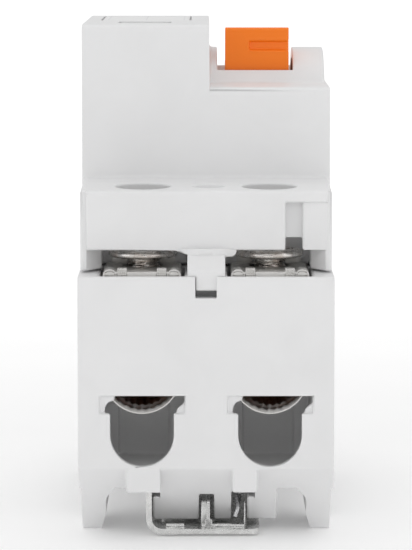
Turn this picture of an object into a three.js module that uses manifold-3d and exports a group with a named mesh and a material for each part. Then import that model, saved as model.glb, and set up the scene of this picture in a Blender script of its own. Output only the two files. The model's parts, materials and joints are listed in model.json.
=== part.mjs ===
// A two-pole residual current device, two modules wide, for a 35 mm top-hat rail.
// Millimetres. X is across the device, Y along it and Z up from the rail feet to the nose.
// The load terminals and the movable rail clip are at -Y, the line terminals at +Y.
import * as THREE from "three";
import { mergeVertices } from "three/addons/utils/BufferGeometryUtils.js";
import Module from "manifold-3d";

const wasm = await Module();
wasm.setup();

// ---- driving dimensions ----
const WIDTH = 36; // two modules of 18 mm
const LENGTH = 85;
const END = LENGTH / 2;
const CHAMFER = 3.6; // run of the slope under each end face
const NOSE_LENGTH = 45;
const RAIL_WIDTH = 35;
const RAIL_EDGE = RAIL_WIDTH / 2;
const RAIL_SEAT = 6; // plane that rests on the rail's front face
const FLOOR_BOTTOM = 7;
const BLOCK_TOP = 37.5; // top of the terminal blocks
const COVER_BOTTOM = 37.8;
const SHOULDER = 49.9; // 44 mm above the rail
const SHOULDER_EDGE = 49.2;
const RIGHT_TOP = 63.1;
const LEFT_TOP = 72.2;
const STEP_X = 0.5; // where the tall left block ends
const WALL = 1.6;
const GAP = 0.3; // clearance between neighbouring pieces

const POLE_X = 9; // the poles lie at -9 and +9
const SCREW_Y = 31.5;
const COVER_END = 36.8; // the cover stands back from the terminal blocks
const PANEL_END = 37.6;
const PANEL_BOTTOM = 40.8;
const POCKET_BACK = 26.6;
const POCKET_FRONT = 41.2;
const CAVITY_END = 25.2;
const CAVITY_HALF = 16.2;

const TOGGLE_Z = 54.1; // toggle axis, at Y 0
const HUMP_R = 14;
const DRUM_R = 12;
const SLOT_LEFT = 1.65;
const SLOT_RIGHT = 12.9;
const SLOT_HALF = 8.75;
const TOGGLE_SWING = THREE.MathUtils.degToRad(50);
const CRANK_R = 7;
const CARRIER_Z = 31; // axis of the contact carrier, at Y 0
const CARRIER_TILT = Math.atan2(
  CRANK_R * Math.sin(TOGGLE_SWING / 2),
  TOGGLE_Z - CARRIER_Z - CRANK_R * Math.cos(TOGGLE_SWING / 2),
);

const CAGE_TOP = 38.1;
const CAGE_LOW = 17.9;
const BAR_Z = 22; // underside of the terminal bars
const BAR_THICK = 1.5;

// ---- materials ----
const material = (color, roughness, metalness) =>
  new THREE.MeshStandardMaterial({ color, roughness, metalness });
const WHITE = () => material(0xdedede, 0.45, 0);
const ORANGE = () => material(0xf5791f, 0.4, 0);
const DARK = () => material(0x2b2d30, 0.55, 0);
const LABEL = () => material(0xf2f2ee, 0.6, 0);
const ZINC = () => material(0xc4c0ba, 0.35, 1);
const STEEL = () => material(0xa8a8aa, 0.3, 1);
const COPPER = () => material(0xb87348, 0.35, 1);
const SILVER = () => material(0xd8d8d6, 0.3, 1);
const TAN = () => material(0xc9b183, 0.5, 0);

// ---- solids ----
function toSolid(geometry) {
  const plain = geometry.clone();
  plain.deleteAttribute("normal");
  plain.deleteAttribute("uv");
  const merged = mergeVertices(plain, 1e-4);
  return new wasm.Manifold(
    new wasm.Mesh({
      numProp: 3,
      vertProperties: merged.attributes.position.array,
      triVerts: new Uint32Array(merged.index.array),
    }),
  );
}

function toGeometry(solid) {
  const mesh = solid.getMesh();
  return new THREE.BufferGeometry()
    .setAttribute("position", new THREE.BufferAttribute(mesh.vertProperties, 3))
    .setIndex(new THREE.BufferAttribute(mesh.triVerts, 1))
    .toNonIndexed();
}

const join = (...solids) => solids.reduce((all, solid) => all.add(solid));
const cut = (solid, ...tools) => tools.reduce((rest, tool) => rest.subtract(tool), solid);

// A box between two opposite corners, given in any order.
function box(x0, x1, y0, y1, z0, z1) {
  const geometry = new THREE.BoxGeometry(Math.abs(x1 - x0), Math.abs(y1 - y0), Math.abs(z1 - z0));
  return toSolid(geometry.translate((x0 + x1) / 2, (y0 + y1) / 2, (z0 + z1) / 2));
}

// A flat outline from corners [a, b, radius]; a corner with a radius is rounded.
function outline(corners) {
  const shape = new THREE.Shape();
  const count = corners.length;
  corners.forEach(([a, b, radius = 0], i) => {
    const corner = new THREE.Vector2(a, b);
    const [before, after] = [corners[(i + count - 1) % count], corners[(i + 1) % count]].map(
      ([p, q]) => new THREE.Vector2(p, q).sub(corner).setLength(radius).add(corner),
    );
    if (i === 0) shape.moveTo(before.x, before.y);
    else shape.lineTo(before.x, before.y);
    if (radius > 0) shape.quadraticCurveTo(corner.x, corner.y, after.x, after.y);
  });
  shape.closePath();
  return shape;
}

// Prisms: a shape drawn in the plane across one axis, extruded along that axis.
const CURVE_STEPS = 4;
const PRISM_BASES = {
  x: new THREE.Matrix4().makeBasis(
    new THREE.Vector3(0, 1, 0),
    new THREE.Vector3(0, 0, 1),
    new THREE.Vector3(1, 0, 0),
  ),
  y: new THREE.Matrix4().makeBasis(
    new THREE.Vector3(1, 0, 0),
    new THREE.Vector3(0, 0, 1),
    new THREE.Vector3(0, -1, 0),
  ),
  z: new THREE.Matrix4(),
};

function prism(axis, shape, from, to, curveSegments = CURVE_STEPS) {
  const low = Math.min(from, to);
  const depth = Math.abs(to - from);
  const geometry = new THREE.ExtrudeGeometry(shape, { depth, bevelEnabled: false, curveSegments });
  geometry.applyMatrix4(PRISM_BASES[axis]);
  const shift = new THREE.Vector3();
  shift[axis] = axis === "y" ? low + depth : low;
  return toSolid(geometry.translate(shift.x, shift.y, shift.z));
}

// A cylinder along an axis; a and b are its centre on the other two axes in X, Y, Z order.
function rod(axis, a, b, radius, from, to, sides = 20) {
  const geometry = new THREE.CylinderGeometry(radius, radius, Math.abs(to - from), sides);
  const middle = (from + to) / 2;
  if (axis === "x") geometry.rotateZ(Math.PI / 2).translate(middle, a, b);
  if (axis === "y") geometry.translate(a, middle, b);
  if (axis === "z") geometry.rotateX(Math.PI / 2).translate(a, b, middle);
  return toSolid(geometry);
}

const ring = (axis, a, b, outer, inner, from, to, sides = 20) =>
  cut(rod(axis, a, b, outer, from, to, sides), rod(axis, a, b, inner, from - 1, to + 1, sides));

// A round wire along a smooth path through points.
function wire(points, radius, steps, sides = 8) {
  const path = new THREE.CatmullRomCurve3(points.map((p) => new THREE.Vector3(...p)));
  const section = new THREE.Shape();
  section.absarc(0, 0, radius, 0, 2 * Math.PI);
  const geometry = new THREE.ExtrudeGeometry(section, {
    steps,
    extrudePath: path,
    curveSegments: sides / 2,
  });
  return toSolid(geometry);
}

// ---- assembly ----
const device = new THREE.Group();

function place(name, solid, look, parent = device) {
  const mesh = new THREE.Mesh(toGeometry(solid), look);
  mesh.name = name;
  parent.add(mesh);
}

const ENDS = [
  ["load", -1],
  ["line", 1],
];
const POLES = [
  ["left", -1],
  ["right", 1],
];

// ---- base housing ----
const ENTRY_SLOT_HALF = 6;
const ENTRY_SLOT_Z = [18.2, 20.7];
const ENTRY_HALF = 4.47;
const ENTRY_LOW = 10.7;

function cableEntry(pole, side) {
  const x = pole * POLE_X;
  const arch = new THREE.Shape();
  arch.moveTo(x + ENTRY_HALF, ENTRY_SLOT_Z[0] + 1);
  arch.lineTo(x - ENTRY_HALF, ENTRY_SLOT_Z[0] + 1);
  arch.lineTo(x - ENTRY_HALF, ENTRY_LOW + ENTRY_HALF);
  arch.absarc(x, ENTRY_LOW + ENTRY_HALF, ENTRY_HALF, Math.PI, 2 * Math.PI, false);
  const outside = side * (END + 1);
  const inside = side * (POCKET_FRONT - 1);
  return join(
    prism("y", arch, inside, outside, 16),
    box(x - ENTRY_SLOT_HALF, x + ENTRY_SLOT_HALF, inside, outside, ...ENTRY_SLOT_Z),
  );
}

// Webs narrow the two corners of a cable entry in front of the cage.
function entryWebs(pole, side) {
  const wide = [
    [-6.2, 18],
    [-6.2, 20.9],
    [-3.8, 20.9],
    [-3.9, 20],
    [-4.8, 19.7],
    [-5.15, 19.1],
    [-5.3, 18],
  ];
  const narrow = [
    [4.7, 18],
    [6.2, 18],
    [6.2, 19.9],
    [5, 18.9],
  ];
  return [wide, narrow].map((points) => {
    const web = outline(points.map(([offset, z]) => [pole * POLE_X - side * offset, z]));
    return prism("y", web, side * POCKET_FRONT, side * (END - 0.6));
  });
}

const POCKET_HALF = 5.95;
const POCKET_FLOOR = 9.9;
const BACK_CHANNEL_HALF = 3.65;

// Room for one clamp cage, with a shallow channel down its back wall and a slot for the bar.
function clampPocket(pole, side) {
  const x = pole * POLE_X;
  const top = BLOCK_TOP + 1;
  return join(
    box(x - POCKET_HALF, x + POCKET_HALF, side * POCKET_BACK, side * POCKET_FRONT, POCKET_FLOOR, top),
    box(
      x - BACK_CHANNEL_HALF,
      x + BACK_CHANNEL_HALF,
      side * (POCKET_BACK - 0.7),
      side * (POCKET_BACK + 1),
      POCKET_FLOOR,
      ENTRY_SLOT_Z[0],
    ),
    box(
      x - BAR_HALF - GAP,
      x + BAR_HALF + GAP,
      side * (CAVITY_END - 1),
      side * (POCKET_BACK + 1),
      BAR_Z - GAP,
      BAR_Z + BAR_THICK + GAP,
    ),
  );
}

const FOOT_END = 31.5;
const FOOT_INNER = 14.3;
const FOOT_OUTER = 17.75;
const SEAT_START = 12.5;

// The feet carry the fixed hook at +Y; at -Y they stop at the rail's edge.
function foot(pole, side) {
  const profile = outline([
    [side * (END - CHAMFER), FLOOR_BOTTOM],
    [side * FOOT_END, 0, 0.4],
    [side * (RAIL_EDGE + 5), 0, 0.4],
    [side * (RAIL_EDGE + 0.6), 2.6, 0.4],
    [side * (RAIL_EDGE + 0.6), FLOOR_BOTTOM + 0.5],
    [side * (END - CHAMFER), FLOOR_BOTTOM + 0.5],
  ]);
  const section = outline([
    [pole * FOOT_OUTER, 0],
    [pole * (FOOT_INNER + 0.7), 0],
    [pole * FOOT_INNER, 2.6, 0.5],
    [pole * FOOT_INNER, 5.4, 1],
    [pole * 13, FLOOR_BOTTOM],
    [pole * 13, FLOOR_BOTTOM + 0.5],
    [pole * FOOT_OUTER, FLOOR_BOTTOM + 0.5],
  ]);
  return prism("x", profile, pole * 12, pole * FOOT_OUTER).intersect(
    prism("y", section, side * 10, side * END),
  );
}

const GUIDE_BOTTOM = 1.7;
const GUIDE_LEFT = -6.5;
const GUIDE_RIGHT = 10.1;
const GUIDE_INNER_END = 29.3; // clear of the clip when it is pulled out
const TONGUE_SLOT = [-1, 1.15];
const SPRING_SLOT = [3.6, 6.95];
const STEP_TOP = 5.6; // low steps beside the guide and inside the spring's slot
const STEP_WIDTH = 1.1;

// The guide of the rail clip hangs under the -Y end and follows the sloped end face.
function clipGuide() {
  const end = -(END - CHAMFER);
  const profile = (top) =>
    outline([
      [end, FLOOR_BOTTOM],
      [-33.3, GUIDE_BOTTOM],
      [-GUIDE_INNER_END, GUIDE_BOTTOM],
      [-GUIDE_INNER_END, top],
      [end, top],
    ]);
  const stepProfile = outline([
    [-37.4, STEP_TOP],
    [-33.3, GUIDE_BOTTOM],
    [-GUIDE_INNER_END, GUIDE_BOTTOM],
    [-GUIDE_INNER_END, STEP_TOP],
  ]);
  return join(
    cut(
      prism("x", profile(FLOOR_BOTTOM + 0.5), GUIDE_LEFT, GUIDE_RIGHT),
      box(...TONGUE_SLOT, -43, -10, 0, 6),
      box(...SPRING_SLOT, -43, -10, 0, 6.6),
    ),
    prism("x", stepProfile, GUIDE_LEFT - STEP_WIDTH, GUIDE_LEFT + 0.5),
    prism("x", stepProfile, SPRING_SLOT[1] - STEP_WIDTH, SPRING_SLOT[1] + 0.5),
  );
}

// Two flush ribs carry each end face straight down over its slope.
function endRibs(side) {
  return [
    [-11.2, -6.4],
    [3.7, 7.2],
  ].map(([x0, x1]) =>
    box(x0, x1, side * (END - 4), side * END, FLOOR_BOTTOM, FLOOR_BOTTOM + 4),
  );
}

// The fixed hook holds the rail's +Y lip from below.
function railHook() {
  const profile = outline([
    [RAIL_EDGE + 0.4, FLOOR_BOTTOM + 0.5],
    [RAIL_EDGE + 0.4, RAIL_SEAT - 1.2],
    [RAIL_EDGE - 1.2, RAIL_SEAT - 1.4],
    [RAIL_EDGE - 1.2, RAIL_SEAT - 2.4],
    [RAIL_EDGE + 1, RAIL_SEAT - 4],
    [RAIL_EDGE + 8, RAIL_SEAT - 4],
    [RAIL_EDGE + 10, FLOOR_BOTTOM + 0.5],
  ]);
  return prism("x", profile, GUIDE_LEFT, GUIDE_RIGHT);
}

const LATCH_NOTCH_HALF = 1.5;

function baseHousing() {
  const slopeTop = FLOOR_BOTTOM + 3.4;
  const hull = outline([
    [-END, slopeTop],
    [-END + CHAMFER, FLOOR_BOTTOM],
    [END - CHAMFER, FLOOR_BOTTOM],
    [END, slopeTop],
    [END, BLOCK_TOP, 0.5],
    [-END, BLOCK_TOP, 0.5],
  ]);
  let body = prism("x", hull, -WIDTH / 2, WIDTH / 2);
  body = join(body, clipGuide(), railHook());
  for (const [, side] of ENDS) {
    const seat = box(
      -WIDTH / 2 + 0.4,
      WIDTH / 2 - 0.4,
      side * SEAT_START,
      side * (RAIL_EDGE + 0.4),
      RAIL_SEAT,
      FLOOR_BOTTOM + 0.5,
    );
    body = join(body, seat, ...endRibs(side), foot(-1, side), foot(1, side));
  }
  const cavityFloor = FLOOR_BOTTOM + 2;
  body = cut(body, box(-CAVITY_HALF, CAVITY_HALF, -CAVITY_END, CAVITY_END, cavityFloor, BLOCK_TOP + 1));
  for (const [, side] of ENDS) {
    for (const [, pole] of POLES) {
      body = cut(body, clampPocket(pole, side), cableEntry(pole, side));
      body = join(body, ...entryWebs(pole, side));
    }
    body = cut(
      body,
      box(-LATCH_NOTCH_HALF, LATCH_NOTCH_HALF, side * 38.4, side * (END + 1), 34.5, BLOCK_TOP + 1),
    );
  }
  // Blind holes for the ends of the carrier's pin.
  return cut(body, rod("x", 0, CARRIER_Z, CARRIER_PIN_R + GAP, -CAVITY_HALF - 1, CAVITY_HALF + 1));
}

// ---- upper cover ----
const SHELL_END = 20.9; // inside of the nose
const SHELL_HALF = 16.3;
const ACCESS_R = 3.9;
const HATCH = [2.65, 14.85]; // screw chamber, measured from the middle

function noseOutside() {
  const end = NOSE_LENGTH / 2;
  const block = (top) =>
    outline([
      [-end, SHOULDER - 1],
      [end, SHOULDER - 1],
      [end, top, 1.5],
      [-end, top, 1.5],
    ]);
  return join(
    prism("x", block(LEFT_TOP), -WIDTH / 2, STEP_X),
    prism("x", block(RIGHT_TOP), STEP_X - 0.5, WIDTH / 2),
    rod("x", 0, TOGGLE_Z, HUMP_R, STEP_X - 0.5, WIDTH / 2 - 0.4, 72),
  );
}

const SLOT_TOP = 47.6;

// The front panel of one end, with a recessed slot, open at its foot, and a set-back strip beside it.
function endPanel(side) {
  const profile = outline([
    [side * (COVER_END - 1.2), PANEL_BOTTOM],
    [side * PANEL_END, PANEL_BOTTOM],
    [side * PANEL_END, SHOULDER_EDGE, 0.9],
    [side * (COVER_END - 1.2), SHOULDER_EDGE],
  ]);
  const [slotFrom, slotTo, right] = [11.2, 13.65, 17.2].map((x) => -side * x);
  return cut(
    prism("x", profile, side * 16.9, right),
    box(slotFrom, slotTo, side * 36.3, side * 40, PANEL_BOTTOM - 1, SLOT_TOP),
    box(slotFrom, slotTo, side * 35, side * 40, PANEL_BOTTOM - 1, 42.5),
    box(slotTo, -side * 18, side * (PANEL_END - 0.7), side * 40, PANEL_BOTTOM - 1, SLOT_TOP),
  );
}

// A finger lip at the panel's lower edge: bowed outwards, and deeper towards one side.
function panelLip(side) {
  const bow = new THREE.Shape();
  const reach = 1.5;
  bow.moveTo(-4.6, side * (PANEL_END - 1));
  bow.lineTo(-4.6, side * (PANEL_END - 0.1));
  bow.quadraticCurveTo(0, side * (PANEL_END + 2 * reach), 4.6, side * (PANEL_END - 0.1));
  bow.lineTo(4.6, side * (PANEL_END - 1));
  bow.closePath();
  const face = [
    [-4.2, 40.7],
    [-2.5, 40.25],
    [-0.7, 40.05],
    [2, 39.93],
    [3.8, 39.93],
    [4.2, 40.2],
    [4.3, 40.8],
    [3, 41.1],
    [-2.8, 41.1],
  ].map(([x, z]) => [-side * x, z]);
  return prism("z", bow, PANEL_BOTTOM - 1, PANEL_BOTTOM + 0.5, 8).intersect(
    prism("y", outline(face), side * (PANEL_END - 2), side * (PANEL_END + 2)),
  );
}

// The middle post ends in a tab that snaps into the notch of the terminal block.
function latchPost(side) {
  const front = 41.8;
  const profile = outline([
    [side * (COVER_END - 2), COVER_BOTTOM],
    [side * front, COVER_BOTTOM],
    [side * front, COVER_BOTTOM + 0.4],
    [side * 39, PANEL_BOTTOM - 0.6],
    [side * (COVER_END - 2), PANEL_BOTTOM + 0.5],
  ]);
  return join(
    prism("x", profile, -2.6, 2.7),
    box(-1.2, 1.2, side * 39.2, side * front, 35.5, COVER_BOTTOM + 0.4),
  );
}

// Beside a screw chamber the side wall is cut back to a slanted face.
function hatchFlare(pole, side) {
  const plan = outline([
    [pole * 14.6, side * 33.4],
    [pole * 14.6, side * (COVER_END + 1)],
    [pole * 17.6, side * (COVER_END + 1)],
  ]);
  return prism("z", plan, COVER_BOTTOM - 1, PANEL_BOTTOM);
}

function coverOutside() {
  const skirt = outline([
    [-COVER_END, COVER_BOTTOM],
    [COVER_END, COVER_BOTTOM],
    [COVER_END, SHOULDER_EDGE],
    [NOSE_LENGTH / 2, SHOULDER],
    [-NOSE_LENGTH / 2, SHOULDER],
    [-COVER_END, SHOULDER_EDGE],
  ]);
  return join(prism("x", skirt, -17.8, 17.8), noseOutside());
}

function coverInside() {
  return [
    box(-CAVITY_HALF, CAVITY_HALF, -CAVITY_END, CAVITY_END, COVER_BOTTOM - 1, SHOULDER - WALL),
    box(-SHELL_HALF, SHELL_HALF, -SHELL_END, SHELL_END, SHOULDER - WALL - 1, RIGHT_TOP - WALL),
    box(-SHELL_HALF, STEP_X - WALL, -SHELL_END, SHELL_END, RIGHT_TOP - WALL - 1, LEFT_TOP - WALL),
    rod("x", 0, TOGGLE_Z, DRUM_R + 0.4, SLOT_LEFT - 0.7, WIDTH / 2 - 2.2, 72),
    box(SLOT_LEFT, SLOT_RIGHT, -SLOT_HALF, SLOT_HALF, TOGGLE_Z, TOGGLE_Z + HUMP_R + 1),
  ];
}

function upperCover() {
  let body = cut(coverOutside(), ...coverInside());
  for (const [, side] of ENDS) {
    for (const [, pole] of POLES) {
      const hatch = box(
        pole * HATCH[0],
        pole * HATCH[1],
        side * POCKET_BACK,
        side * (COVER_END + 1),
        COVER_BOTTOM - 1,
        SHOULDER - WALL - 0.2,
      );
      const access = rod("z", pole * POLE_X, side * SCREW_Y, ACCESS_R, 47, 51, 32);
      body = cut(body, hatch, hatchFlare(pole, side), access);
    }
    body = cut(body, rod("z", 0.4, side * SCREW_Y, 2.3, SHOULDER - 1.2, 51, 20));
    body = join(body, endPanel(side), panelLip(side), latchPost(side));
  }
  // Openings in the top of the tall block: a shallow bed for the label and the button's window.
  return cut(
    body,
    box(LABEL_X[0] - GAP, LABEL_X[1] + GAP, LABEL_Y[0] - GAP, LABEL_Y[1] + GAP, LEFT_TOP - 0.6, 80),
    box(
      BUTTON_X - BUTTON_HALF - GAP,
      BUTTON_X + BUTTON_HALF + GAP,
      BUTTON_Y - BUTTON_HALF - GAP,
      BUTTON_Y + BUTTON_HALF + GAP,
      LEFT_TOP - 4,
      80,
    ),
  );
}

// ---- rating label and test button ----
const LABEL_X = [-15.5, -2.5];
const LABEL_Y = [-4, 18.5];
const BUTTON_X = -9;
const BUTTON_Y = -13;
const BUTTON_HALF = 3.6;
const BUTTON_TOP = LEFT_TOP - 0.2;
const STEM_R = 1.5;
const STEM_END = 58.6;

function ratingLabel() {
  return box(...LABEL_X, ...LABEL_Y, LEFT_TOP - GAP, LEFT_TOP - 0.05);
}

function testButton() {
  const cap = outline([
    [BUTTON_X - BUTTON_HALF, BUTTON_Y - BUTTON_HALF, 0.8],
    [BUTTON_X + BUTTON_HALF, BUTTON_Y - BUTTON_HALF, 0.8],
    [BUTTON_X + BUTTON_HALF, BUTTON_Y + BUTTON_HALF, 0.8],
    [BUTTON_X - BUTTON_HALF, BUTTON_Y + BUTTON_HALF, 0.8],
  ]);
  const flange = BUTTON_HALF + 1.2;
  const ceiling = LEFT_TOP - WALL - GAP;
  return join(
    prism("z", cap, ceiling - 1, BUTTON_TOP),
    box(
      BUTTON_X - flange,
      BUTTON_X + flange,
      BUTTON_Y - flange,
      BUTTON_Y + flange,
      ceiling - 1.2,
      ceiling,
    ),
    rod("z", BUTTON_X, BUTTON_Y, STEM_R, STEM_END, ceiling - 0.5),
  );
}

// The coil spring under the button, as the sleeve that its turns fill.
function buttonSpring() {
  return ring("z", BUTTON_X, BUTTON_Y, 3.1, 2.1, RELAY_TOP + GAP, LEFT_TOP - WALL - 1.5 - 2 * GAP);
}

const testContactPad = () => rod("z", BUTTON_X, BUTTON_Y, 1.3, RELAY_TOP + 0.1, RELAY_TOP + 0.9, 16);

function testResistor() {
  return join(
    rod("y", -13.6, 47, 1.7, 6, 14, 16),
    rod("y", -13.6, 47, 0.4, 3, 17, 8),
  );
}

// ---- toggle, in its OFF pose ----
const TOGGLE_X = [2.85, 12.3];
const HANDLE_FACE = 8.2;
const HANDLE_TOP = 17.2; // above the axis
const HUB_R = 3.4;
const PIN_R = 1.2;

// Sector of a ring about the toggle axis; angles from +Z towards +Y.
function sector(inner, outer, fromDegrees, toDegrees) {
  const [start, end] = [90 - toDegrees, 90 - fromDegrees].map(THREE.MathUtils.degToRad);
  const shape = new THREE.Shape();
  shape.absarc(0, TOGGLE_Z, outer, start, end, false);
  shape.absarc(0, TOGGLE_Z, inner, end, start, true);
  shape.closePath();
  return shape;
}

function toggle() {
  const handle = outline([
    [-HANDLE_FACE, TOGGLE_Z + 8],
    [-3, TOGGLE_Z + 10.5],
    [-3.1, TOGGLE_Z + 13.6, 1],
    [-4.3, TOGGLE_Z + HANDLE_TOP - 0.3, 0.8],
    [-HANDLE_FACE, TOGGLE_Z + HANDLE_TOP, 0.6],
  ]);
  const [left, right] = TOGGLE_X;
  const swing = THREE.MathUtils.radToDeg(TOGGLE_SWING);
  const slotAngle = THREE.MathUtils.radToDeg(Math.asin(SLOT_HALF / HUMP_R)) + 3;
  const hub = join(
    prism("x", sector(DRUM_R - 1.2, DRUM_R, -slotAngle - swing, slotAngle), left, right, 40),
    prism("x", sector(HUB_R - 1, DRUM_R - 0.5, -46, -4), left, right, 12),
    rod("x", 0, TOGGLE_Z, HUB_R, left, right, 28),
  );
  const crank = new THREE.Vector2(0, -CRANK_R).rotateAround(new THREE.Vector2(), TOGGLE_SWING / 2);
  const cheek = (x0, x1) =>
    join(
      rod("x", crank.x, TOGGLE_Z + crank.y, 2, x0, x1, 20),
      prism(
        "x",
        outline([
          [crank.x - 2, TOGGLE_Z + crank.y],
          [crank.x + 2, TOGGLE_Z + crank.y],
          [3, TOGGLE_Z],
          [-3, TOGGLE_Z],
        ]),
        x0,
        x1,
      ),
    );
  return cut(
    join(hub, prism("x", handle, left, right), cheek(left, left + 1.9), cheek(right - 1.9, right)),
    rod("x", 0, TOGGLE_Z, PIN_R + GAP, left - 1, right + 1),
    rod("x", crank.x, TOGGLE_Z + crank.y, CRANK_PIN_R + 0.2, left - 1, right + 1, 16),
    box(6.4, right + 1, -HANDLE_FACE - 1, -HANDLE_FACE + 0.6, TOGGLE_Z + 13.8, TOGGLE_Z + 15.1),
  );
}

const CRANK_PIN_R = 0.8;
const crankPin = () =>
  rod(
    "x",
    CRANK_R * Math.sin(TOGGLE_SWING / 2),
    TOGGLE_Z - CRANK_R * Math.cos(TOGGLE_SWING / 2),
    CRANK_PIN_R,
    TOGGLE_X[0] + 0.1,
    TOGGLE_X[1] - 0.1,
    16,
  );

const FRAME_PLATES = [
  [0.9, 2.1],
  [13.1, 14.3],
];
const LATCH_PIN = [-2.4, 41.2];
const togglePin = () => rod("x", 0, TOGGLE_Z, PIN_R, FRAME_PLATES[0][0] - 0.4, 16);
const latchPin = () => rod("x", ...LATCH_PIN, 0.8, -15.8, FRAME_PLATES[0][1] + 0.2, 12);

function toggleSpring() {
  return join(
    ring("x", 0, TOGGLE_Z, 2.5, PIN_R + GAP, 14.6, 15.9),
    box(14.6, 15.3, -2.3, -1.7, TOGGLE_Z - 8, TOGGLE_Z),
    box(15.3, 15.9, 1.7, 2.3, TOGGLE_Z - 8, TOGGLE_Z),
  );
}

// Two cheek plates on a cross bar carry the toggle pin and the latch pin.
function mechanismFrame() {
  const plate = outline([
    [-7, 40],
    [7, 40],
    [5, 57, 2],
    [-5, 57, 2],
  ]);
  const plates = FRAME_PLATES.map(([x0, x1]) => prism("x", plate, x0, x1));
  return cut(
    join(box(-15.9, 15.9, -7, -5.6, 40, 43), ...plates),
    rod("x", 0, TOGGLE_Z, PIN_R + 0.2, 0, 16),
    rod("x", ...LATCH_PIN, 1, 0, 16, 12),
  );
}

// ---- trip relay and latch ----
const RELAY_X = [-15.6, -2.6];
const RELAY_Y = [-20.4, -7.6];
const RELAY_Z = [40, 56];
const RELAY_TOP = RELAY_Z[1];
const RELAY_AXIS = [-9.1, 48];
const RELAY_WALL = 1.2;

// An open-fronted box with a coil on a spool inside.
function relayCase() {
  const [x0, x1] = [RELAY_X[0] + RELAY_WALL, RELAY_X[1] - RELAY_WALL];
  return cut(
    box(...RELAY_X, ...RELAY_Y, ...RELAY_Z),
    box(x0, x1, RELAY_Y[0] + RELAY_WALL, 0, RELAY_Z[0] + RELAY_WALL, RELAY_Z[1] - RELAY_WALL),
  );
}

function relayCoil() {
  const spool = join(
    rod("y", ...RELAY_AXIS, 4, -18.8, -8.6, 24),
    rod("y", ...RELAY_AXIS, 4.9, -18.8, -17.8, 24),
    rod("y", ...RELAY_AXIS, 4.9, -9.6, -8.6, 24),
  );
  return cut(spool, rod("y", ...RELAY_AXIS, 1.7, -17, 0));
}

const relayPlunger = () =>
  join(rod("y", ...RELAY_AXIS, 1.2, -15, -4.9, 16), rod("y", ...RELAY_AXIS, 2.2, -5.9, -4.9, 20));

function latchLever() {
  const plate = outline([
    [-13.5, 39.9, 1],
    [0.5, 39.9, 1],
    [0.5, 46],
    [-4, 46],
    [-4, 51.5, 1],
    [-13.5, 51.5, 1],
  ]);
  const blade = prism("y", plate, -3.6, -1.9);
  const barrel = rod("x", ...LATCH_PIN, 1.7, -13.5, 0.5, 16);
  return cut(join(blade, barrel), rod("x", ...LATCH_PIN, 1.1, -20, 5, 12));
}

// ---- summation transformer and primary conductors ----
const CORE_Y = [-20.5, -12.5];
const CORE_Z = 26;
const CORE_OUTER = 10;
const CORE_INNER = 5.8;
const WINDING_DEGREES = [20, 130];

function coreRing() {
  return ring("y", 0, CORE_Z, CORE_OUTER, CORE_INNER, CORE_Y[0], CORE_Y[1], 40);
}

// The secondary winding sleeves a stretch of the ring.
function secondaryWinding() {
  const [start, end] = WINDING_DEGREES.map(THREE.MathUtils.degToRad);
  const stretch = (outer, inner) => {
    const shape = new THREE.Shape();
    shape.absarc(0, CORE_Z, outer, start, end, false);
    shape.absarc(0, CORE_Z, inner, end, start, true);
    shape.closePath();
    return shape;
  };
  const wrap = 1;
  const sleeve = prism(
    "y",
    stretch(CORE_OUTER + GAP + wrap, CORE_INNER - GAP - wrap),
    CORE_Y[0] - GAP - wrap,
    CORE_Y[1] + GAP + wrap,
    20,
  );
  const space = [CORE_OUTER + GAP, CORE_INNER - GAP, CORE_Y[0] - GAP, CORE_Y[1] + GAP];
  return cut(sleeve, ring("y", 0, CORE_Z, ...space, 40));
}

const BAR_HALF = 3.6;

// The load bar leads from its clamp into the housing; a round conductor carries on through the ring.
const loadBar = (x) => box(x - BAR_HALF, x + BAR_HALF, -39.8, -23.4, BAR_Z, BAR_Z + BAR_THICK);

function primaryConductor(pole) {
  const points = [
    [9, -23.4, 25.2],
    [5.5, -23.2, 25.3],
    [2.3, -21.6, 25.5],
    [1.9, -17, 25.6],
    [1.9, -12, 25.6],
    [4, -9.4, 25.8],
    [9, -8.6, 26],
  ].map(([x, y, z]) => [pole * x, y, z]);
  return wire(points, 1.3, 24);
}

// The braid ends in a lug beside the contact arm, close to the carrier's axis.
function flexibleLead(pole) {
  const points = [
    [10.6, -8.6, 26],
    [12.6, -8, 26.2],
    [13.7, -5, 26.6],
    [13.7, 1.2, 26],
  ].map(([x, y, z]) => [pole * x, y, z]);
  return wire(points, 0.9, 8);
}

// ---- contacts ----
function lineBar(x) {
  return join(
    box(x - BAR_HALF, x + BAR_HALF, 8.4, 39.8, BAR_Z, BAR_Z + BAR_THICK),
    box(x - BAR_HALF, x + BAR_HALF, 6.9, 8.6, 14, BAR_Z + BAR_THICK),
  );
}

const CONTACT_Z = CARRIER_Z - 13.6;
const fixedContact = (x) => rod("y", x, CONTACT_Z, 1.7, 5.4, 6.6, 20);
const CARRIER_PIN_R = 1.2;
const carrierPin = () => rod("x", 0, CARRIER_Z, CARRIER_PIN_R, -CAVITY_HALF - 0.7, CAVITY_HALF + 0.7);

// Carrier, arms and springs are drawn about the carrier's axis, with the arms straight down.
function contactCarrier() {
  const fork = [
    [-2.8, 12.5],
    [-2.8, 19],
    [-1.3, 19],
    [-1.3, 14.2],
    [1.3, 14.2],
    [1.3, 19],
    [2.8, 19],
    [2.8, 12.5],
    [2, 2],
    [-2, 2],
  ];
  const seat = (x) => box(x - 3.2, x + 3.2, -5.2, -4, -10.5, 0.5);
  const web = (x) => box(x - 3.2, x + 3.2, -5.2, -2, -2, 1);
  return cut(
    join(
      rod("x", 0, 0, 3.4, -14.8, 14.8, 24),
      prism("x", outline(fork), 5.2, 9.9),
      ...[-POLE_X, POLE_X].flatMap((x) => [seat(x), web(x)]),
    ),
    rod("x", 0, 0, CARRIER_PIN_R + GAP, -20, 20),
    ...[-POLE_X, POLE_X].map((x) => box(x - 1.8, x + 1.8, -1.4, 6, -6, 6)),
  );
}

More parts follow.
